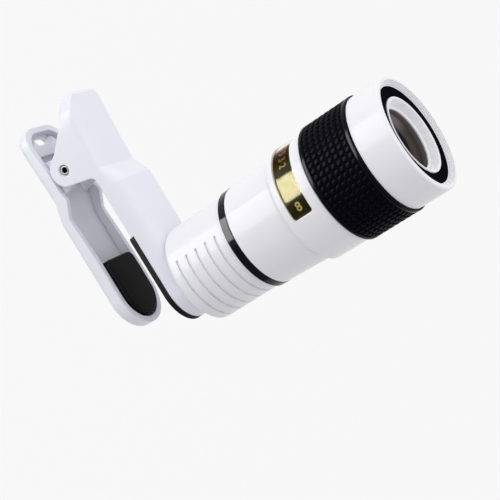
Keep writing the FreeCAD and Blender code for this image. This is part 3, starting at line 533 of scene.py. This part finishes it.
FINISHES = {
    "lens_jaw": clip_white, "pad_jaw": clip_white, "lens_jaw_pad": pad_rubber, "pad_jaw_pad": pad_rubber,
    "pivot_pin": nickel, "torsion_spring": spring_steel, "base_collar": collar_white,
    "trim_ring": black_gloss, "main_barrel": barrel_white, "scale_plate": foil, "scale_window": cover,
    "field_stop": black_flat, "guide_tube": black_flat, "eyepiece_cell": black_satin, "eye_lens": glass,
    "eyepiece_spacer": black_flat, "field_lens": glass, "eyepiece_retainer": black_flat,
    "focus_ring": barrel_white, "focus_screws": nickel, "rubber_grip": pad_rubber,
    "front_hood": barrel_white, "name_ring": black_satin, "objective_cell": barrel_white,
    "objective_crown_lens": glass, "objective_flint_lens": glass, "objective_retainer": black_flat,
}
for node_name, finish in FINISHES.items():
    dress(node_name, finish, CLIP_CREASE if finish is clip_white else CREASE)
print("dressed:", len(FINISHES), "of", len(nodes))

# %% [markdown]
# ## The rubber grip
# The grip is a moulded rubber sleeve with a woven look: two plain bands, and between them rows of small
# oval pillows that lean over their squares. One pillow is modelled on a flat sheet from a circle of twelve
# corners that is inset four times as it rises, and PILLOW_RISE says how far inwards and by what share of
# the height each time. Then arrays repeat it, and the sheet is rolled up.

# %% One pillow and its copies
GRIP_RADIUS = 15.95
GRIP_FIELD = 15.70
GRIP_CORE = 15.00
GRIP_LOW = 53.7
GRIP_HIGH = 68.0
GRIP_BAND = 1.2
PILLOWS_ROUND = 60
PILLOW_ROWS = 7
PILLOW_LONG = 0.92
PILLOW_WIDE = 0.66
PILLOW_HEIGHT = 0.25
PILLOW_LEAN = 50.0
PILLOW_CORNERS = 12
PILLOW_RISE = [(0.07, 0.50), (0.12, 0.30), (0.16, 0.15), (0.14, 0.05)]


def pillow():
    """An oval pillow that leans over its square, standing on the sheet."""
    bpy.ops.object.select_all(action="DESELECT")
    bpy.ops.mesh.primitive_circle_add(vertices=PILLOW_CORNERS, radius=1.0, fill_type="NGON")
    piece = bpy.context.object
    bpy.ops.object.mode_set(mode="EDIT")
    bpy.ops.mesh.select_all(action="SELECT")
    bpy.ops.transform.resize(value=(PILLOW_LONG * MM, PILLOW_WIDE * MM, 1.0))
    bpy.ops.transform.rotate(value=math.radians(PILLOW_LEAN), orient_axis="Z", center_override=(0, 0, 0))
    for inwards, rise in PILLOW_RISE:
        bpy.ops.mesh.inset(thickness=inwards * MM, depth=PILLOW_HEIGHT * rise * MM)
    bpy.ops.object.mode_set(mode="OBJECT")
    return piece


field_height = GRIP_HIGH - GRIP_LOW - 2 * GRIP_BAND
cell_wide = 2 * math.pi * GRIP_FIELD / PILLOWS_ROUND
cell_high = field_height / PILLOW_ROWS
sheet = pillow()
for count, step in ((PILLOW_ROWS, (0, cell_high * MM, 0)), (PILLOWS_ROUND, (cell_wide * MM, 0, 0))):
    add_modifier(sheet, "ARRAY", count=count, use_relative_offset=False, use_constant_offset=True,
                 constant_offset_displace=step)
print("pillows:", PILLOW_ROWS * PILLOWS_ROUND, "pitch in mm:", round(cell_wide, 2), round(cell_high, 2),
      "faces:", len(sheet.data.polygons))

# %% [markdown]
# The bands are moulded smooth and shine, the pillows' tops are duller, and the ground between them is
# dull, so one rubber does all three: its roughness follows the height along the axis and the distance
# from it.

# %% Rubber
RUBBER_BLACK = (0.0015, 0.0015, 0.003)
RUBBER_LIGHTER = (0.003, 0.003, 0.006)
GROUND_ROUGHNESS = 0.85
PILLOW_POLISH = 0.54
BAND_POLISH = 0.14
BAND_COAT = 0.12


def woven_rubber():
    """Black rubber that is glossy on the two plain bands, duller on the pillows and dull between them."""
    paint = Paint("grip_rubber", IOR=PLASTIC_IOR, Specular_IOR_Level=0.02, Coat_Roughness=0.12)
    x, y, z = paint.place()
    from_middle = (z / MM - (GRIP_LOW + GRIP_HIGH) / 2).size()
    band = from_middle.ramp(field_height / 2 - 0.1, field_height / 2)
    paint.feed("Base Color", paint.mix(paint.noise(3.0, 3.0), RUBBER_BLACK, RUBBER_LIGHTER))
    lift = ((x * x + y * y).root() / MM).ramp(GRIP_FIELD + 0.01, GRIP_FIELD + 0.15)
    dull = GROUND_ROUGHNESS - lift * PILLOW_POLISH
    paint.feed("Roughness", paint.noise(0.9, 4.0) * 0.1 + dull - band * BAND_POLISH)
    paint.feed("Coat Weight", band * BAND_COAT)
    paint.bump(paint.noise(0.16, 2.0), 0.006)
    return paint.material


grip_rubber = woven_rubber()
print("rubber made:", grip_rubber.name)

# %% [markdown]
# Rolling up is one line of school geometry: how far a point lies along the sheet becomes its angle, and
# how high it stands above the sheet is added to the radius.

# %% Roll the sheet up
ROOT_DEPTH = 0.02


def roll_up(piece, radius, low):
    """Wraps a flat sheet, whose length runs along X and its width along Y, round the optical axis."""
    for v in piece.data.vertices:
        along, across, above = v.co / MM
        v.co = wrapped(along / radius, radius + above, low + across)


roll_up(sheet, GRIP_FIELD - ROOT_DEPTH, GRIP_LOW + GRIP_BAND + cell_high / 2)
close_up(sheet)
print("rolled up:", len(sheet.data.vertices), "points")

# %% [markdown]
# The bands and the ground under the pillows are one sleeve. Its half section is the same at both ends, so
# only one end is written down, as a distance from the axis and a height above that end.

# %% The sleeve under the pillows
EDGE = 0.3
EDGE_CUT = 0.09
GROUND_SINK = 0.04
end_section = [
    (GRIP_CORE, 0.0), (GRIP_RADIUS - EDGE, 0.0), (GRIP_RADIUS - EDGE_CUT, EDGE_CUT), (GRIP_RADIUS, EDGE),
    (GRIP_RADIUS, GRIP_BAND - 0.12), (GRIP_RADIUS - 0.05, GRIP_BAND - 0.03),
    (GRIP_FIELD - GROUND_SINK, GRIP_BAND),
]
grip_section = [(radius, GRIP_LOW + up) for radius, up in end_section]
grip_section += [(radius, GRIP_HIGH - up) for radius, up in reversed(end_section)]
sleeve = lathe(grip_section, steps=144)
grip = settle(join([sleeve, sheet]), "woven_grip", "focus_front", grip_rubber, smooth=50)
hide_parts("rubber_grip")

# %% [markdown]
# ## Figures on the scale
# A distance scale has plain figures for the metres and the sign for infinity. Each is a small text,
# made a mesh and laid on the strip's round face.

# %% Plain figures
FIGURES = [("2", 226.0), ("3", 217.0), ("5", 208.0), ("10", 197.0)]
FIGURE_SIZE = 2.9
INFINITY_AT = 271.0
INFINITY_SIZE = 3.2
FIGURE_LIFT = 0.015
FIGURE_HALF_THICK = 0.01
FIGURE_ROUNDNESS = 3


def figure(text, azimuth, size, lying=False):
    """A flat figure laid round the axis at an azimuth. A lying 8 is the sign for infinity."""
    bpy.ops.object.select_all(action="DESELECT")
    bpy.ops.object.text_add()
    sign = bpy.context.object
    sign.data.body = text
    sign.data.size = size * MM
    sign.data.align_x = "CENTER"
    sign.data.align_y = "CENTER"
    sign.data.extrude = FIGURE_HALF_THICK * MM
    sign.data.resolution_u = FIGURE_ROUNDNESS
    bpy.ops.object.convert(target="MESH")
    radius = STRIP_RADIUS + FIGURE_LIFT
    middle = (STRIP_LOW + STRIP_HIGH) / 2
    for v in sign.data.vertices:
        along, up, above = v.co / MM
        if lying:
            along, up = -up, along
        v.co = wrapped(math.radians(azimuth) + along / radius, radius + above, middle + up)
    return sign


signs = [figure(text, azimuth, FIGURE_SIZE) for text, azimuth in FIGURES]
signs.append(figure("8", INFINITY_AT, INFINITY_SIZE, lying=True))
settle(join(signs), "scale_figures", "lens_body", figure_gold)

# %% [markdown]
# ## The funnel round the glass
# Inside the white cell, small steps kill stray light, and a rounded bead runs round the opening. Their
# half section is a staircase along the funnel's slope and half a circle at its foot, spun on the lathe.

# %% Steps and bead
FUNNEL_TOP = (10.00, 76.25)
FUNNEL_FOOT = (8.30, 73.73)
STEPS = 6
STEPS_FROM = 0.06
STEPS_SHARE = 0.62
STEP_LIFT = 0.03
BEAD_AT = 0.885
BEAD_RADIUS = 0.36
BEAD_TURNS = [22.5 * i for i in range(9)]
LIP_FOOT = 72.55
run, drop = FUNNEL_FOOT[0] - FUNNEL_TOP[0], FUNNEL_FOOT[1] - FUNNEL_TOP[1]
slope_length = math.hypot(run, drop)


def funnel_point(share, lift):
    """A point on the funnel's slope, from 0 at its rim to 1 at its foot, lifted towards the axis."""
    radius = FUNNEL_TOP[0] + run * share + drop / slope_length * lift
    height = FUNNEL_TOP[1] + drop * share - run / slope_length * lift
    return radius, height


stairs = [funnel_point(0.04, -0.02)]
for i in range(STEPS):
    upper = funnel_point(STEPS_FROM + STEPS_SHARE * i / STEPS, STEP_LIFT)
    lower = funnel_point(STEPS_FROM + STEPS_SHARE * (i + 1) / STEPS, STEP_LIFT)
    stairs += [(lower[0], upper[1]), lower]
stairs.append(funnel_point(0.74, 0.02))
slope = math.atan2(-drop, -run)
bead_middle = funnel_point(BEAD_AT, 0.0)
for degrees in BEAD_TURNS:
    turn = slope + math.radians(degrees)
    stairs.append((bead_middle[0] + BEAD_RADIUS * math.cos(turn),
                   bead_middle[1] + BEAD_RADIUS * math.sin(turn)))
foot_radius, foot_height = FUNNEL_FOOT
stairs += [(foot_radius - 0.06, foot_height - 0.10), (foot_radius - 0.06, LIP_FOOT),
           (foot_radius + 0.02, LIP_FOOT), (foot_radius + 0.02, foot_height - 0.12)]
print("funnel corners:", [(round(r, 2), round(z, 2)) for r, z in stairs])

# %% [markdown]
# The funnel is the barrel's white, but the short wall under the bead is blackened against stray light, so
# its colour changes with the height along the axis.

# %% The funnel's white
WALL_BLACK = (0.12, 0.10, 0.095)


def funnel_white():
    """White above the bead's foot and near black below it."""
    paint = Paint("funnel_white", IOR=PLASTIC_IOR, Specular_IOR_Level=0.12)
    x, y, z = paint.place()
    wall = (z / MM).ramp(foot_height + 0.02, foot_height - 0.06)
    cloud = paint.mix(paint.noise(6.0, 3.0), (0.84, 0.84, 0.86), (0.86, 0.86, 0.88))
    paint.feed("Base Color", paint.mix(wall, cloud, WALL_BLACK))
    paint.vary_roughness(0.24, 0.08, paint.noise(2.0, 3.0))
    paint.bump(paint.noise(0.12), 0.002)
    return paint.material


settle(lathe(stairs, steps=128), "funnel_steps", "objective_group", funnel_white(), smooth=40)

# %% [markdown]
# ## The spring
# A torsion spring winds up as the jaws open: one leg stays with the lens jaw, the other goes with the pad
# jaw, and along the coil each bit of wire turns a little more than the one before. The coil is made here with
# the Screw modifier from a ring as thick as the wire and joined with its two legs, and the solid spring is
# hidden. Each leg is a tube with a ball at its elbow and its tip.

# %% Coil and legs
PIN_X = -40.5
PIN_Z = -5.9
WIRE = 0.45
WIRE_SIDES = 12
COIL_RADIUS = 2.15
COIL_LENGTH = 7.559
COIL_TURNS = 6.299
COIL_START = -56.4
COIL_STEPS = 150
PAD_LEG = [(-39.310, 3.7795, -7.690), (-46.700, 3.7795, -12.604)]
LENS_LEG = [(-39.156, -3.7795, -4.222), (-48.100, -3.7795, 2.944)]


def wire_leg(elbow, tip):
    """A straight leg with a round elbow and a round tip."""
    elbow, tip = Vector(elbow) * MM, Vector(tip) * MM
    way = tip - elbow
    bpy.ops.object.select_all(action="DESELECT")
    bpy.ops.mesh.primitive_cylinder_add(
        vertices=WIRE_SIDES, radius=WIRE * MM, depth=way.length, end_fill_type="NOTHING",
        location=(elbow + tip) / 2, rotation=way.to_track_quat("Z", "Y").to_euler())
    pieces = [bpy.context.object]
    for end in (elbow, tip):
        bpy.ops.mesh.primitive_uv_sphere_add(segments=WIRE_SIDES, ring_count=8, radius=WIRE * MM, location=end)
        pieces.append(bpy.context.object)
    return join(pieces)


def apply_place():
    """Puts the place of what is selected into its mesh."""
    bpy.ops.object.transform_apply(location=True, rotation=True, scale=True)


bpy.ops.object.select_all(action="DESELECT")
bpy.ops.mesh.primitive_circle_add(vertices=WIRE_SIDES, radius=WIRE * MM, location=(COIL_RADIUS * MM, 0, 0),
                                  rotation=(math.pi / 2, 0, 0))
coil = bpy.context.object
apply_place()
add_modifier(coil, "SCREW", axis="Z", angle=COIL_TURNS * 2 * math.pi, screw_offset=COIL_LENGTH * MM,
             steps=COIL_STEPS, render_steps=COIL_STEPS, use_normal_calculate=True)
coil.rotation_euler = (0, 0, math.radians(COIL_START))
apply_place()
coil.rotation_euler = (math.pi / 2, 0, 0)
coil.location = (PIN_X * MM, COIL_LENGTH / 2 * MM, PIN_Z * MM)
print("coil faces:", len(coil.data.polygons))

# %% Spring with both legs
spring = join([coil, wire_leg(*PAD_LEG), wire_leg(*LENS_LEG)])
pick(spring)
apply_place()
close_up(spring)
bpy.ops.object.shade_smooth()
spring.name = "wound_spring"
coat(spring, spring_steel)
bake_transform(spring)
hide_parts("torsion_spring")
print("wound_spring faces:", len(spring.data.polygons))

# %% [markdown]
# ## Light, floor and camera
# The photograph was lit by one big softbox from the lower left, which shows as a long patch in every
# round surface, in an otherwise white room. The floor is pale and far below, as under a thing held up.
# What the camera, mirrors and glass see is plain white, while the light on the surfaces is set apart.

# %% World and floor
ROOM_WHITE = (0.94, 0.94, 0.94)
ROOM_LIGHT = (0.97, 0.975, 1.0)
FILL = 0.945
FLOOR = -260.0
FLOOR_SIZE = 12.0
FLOOR_GLOW = 0.90

world = bpy.data.worlds.new("white_room")
bpy.context.scene.world = world
world.use_nodes = True
room = Graph(world.node_tree)
room.tree.nodes.clear()
seen = room.seen_by("Is Camera Ray", "Is Glossy Ray", "Is Transmission Ray")
fill = room.node("ShaderNodeBackground", None, Color=ROOM_LIGHT, Strength=FILL).out()
white = room.node("ShaderNodeBackground", None, Color=ROOM_WHITE).out()
room.node("ShaderNodeOutputWorld", None, room.node("ShaderNodeMixShader", None, seen, fill, white).out())

bpy.ops.object.select_all(action="DESELECT")
bpy.ops.mesh.primitive_plane_add(size=FLOOR_SIZE, location=(0, 0, FLOOR * MM))
floor = bpy.context.object
floor.name = "floor"
pale = Paint("pale_floor", Base_Color=(0.93, 0.93, 0.93), Roughness=0.9)
glow = pale.node("ShaderNodeEmission", None, Color=ROOM_WHITE).out()
share = pale.seen_by("Is Camera Ray", "Is Glossy Ray") * FLOOR_GLOW
lit = Flow(pale, pale.shader.outputs[0])
surface = pale.node("ShaderNodeMixShader", None, share, lit, glow).out()
pale.put(pale.tree.nodes["Material Output"].inputs["Surface"], surface)
coat(floor, pale.material)
print("floor at", FLOOR, "mm")

# %% [markdown]
# The softbox is two panels, since its patch on the gloss and its light on the white had to be matched one
# at a time: one panel shows only in reflections and the other only lights the surfaces.

# %% Lights
MIDDLE = Vector((0, 0, 40 * MM))


def direction(azimuth, elevation):
    """The way from the lens out to an azimuth and an elevation in degrees."""
    azimuth, elevation = math.radians(azimuth), math.radians(elevation)
    return Vector((math.cos(azimuth) * math.cos(elevation), math.sin(azimuth) * math.cos(elevation),
                   math.sin(elevation)))


def panel(name, azimuth, elevation, distance, width, height, watts):
    """A soft panel that faces the lens from a direction."""
    way = direction(azimuth, elevation)
    data = bpy.data.lights.new(name, "AREA")
    data.shape = "RECTANGLE"
    data.size = width * MM
    data.size_y = height * MM
    data.energy = watts
    lamp = bpy.data.objects.new(name, data)
    bpy.context.scene.collection.objects.link(lamp)
    lamp.location = MIDDLE + way * distance * MM
    lamp.rotation_mode = "QUATERNION"
    lamp.rotation_quaternion = way.to_track_quat("Z", "Y")
    lamp.visible_camera = False
    return lamp


softbox = {"distance": 400, "width": 330, "height": 300}
shine = panel("softbox_shine", azimuth=226, elevation=-25, watts=5.2, **softbox)
shine.visible_diffuse = False
key = panel("softbox_key", azimuth=222, elevation=0, watts=0.35, **softbox)
key.visible_glossy = False
top = panel("overhead", azimuth=200, elevation=70, watts=0.42, distance=600, width=600, height=600)
top.visible_glossy = False
print("lights:", shine.name, key.name, top.name)

# %% [markdown]
# A photographer also takes light away, with a grey card on the side that should fall into shade. White
# round things need one, or they lose their roundness. The camera itself doesn't see it.

# %% A grey card
CARD_WAY = direction(318, -20)
CARD_DISTANCE = 0.42
CARD_SIZE = (1.2, 0.46, 1.0)
bpy.ops.object.select_all(action="DESELECT")
bpy.ops.mesh.primitive_plane_add(size=1.0)
card = bpy.context.object
card.name = "dark_card"
card.scale = CARD_SIZE
card.rotation_mode = "QUATERNION"
card.rotation_quaternion = CARD_WAY.to_track_quat("Z", "Y")
card.location = MIDDLE + CARD_WAY * CARD_DISTANCE
card.visible_camera = False
card.visible_transmission = False
coat(card, Paint("grey_felt", Base_Color=(0.31, 0.31, 0.31), Roughness=1.0).material)
print("card at", [round(c, 3) for c in card.location])

# %% [markdown]
# The camera's place and lens were measured from the photograph, by fitting the rings of the barrel and the
# clip's edges. It looks down on the lens from the hinge's side, and it is rolled.

# %% Camera
CAMERA_AT = Vector((14.812, -322.100, 190.472))
camera_data = bpy.data.cameras.new("photograph")
camera_data.lens = 104.08
camera_data.sensor_width = 36.0
camera = bpy.data.objects.new("photograph", camera_data)
bpy.context.scene.collection.objects.link(camera)
right = Vector((0.52451179, 0.40880372, 0.74683793))
down = Vector((0.85067307, -0.2153103, -0.47957982))
ahead = Vector((-0.03525212, 0.88686019, -0.4606911))
turn = Matrix((right, -down, -ahead)).transposed().to_4x4()
camera.matrix_world = Matrix.Translation(CAMERA_AT * MM) @ turn
bpy.context.scene.camera = camera
bpy.context.scene.view_settings.view_transform = "Standard"
print("camera at", [round(x, 3) for x in camera.location])

# %% [markdown]
# ## Last update
# The view layer is brought up to date once more.

# %% Update
bpy.context.view_layer.update()
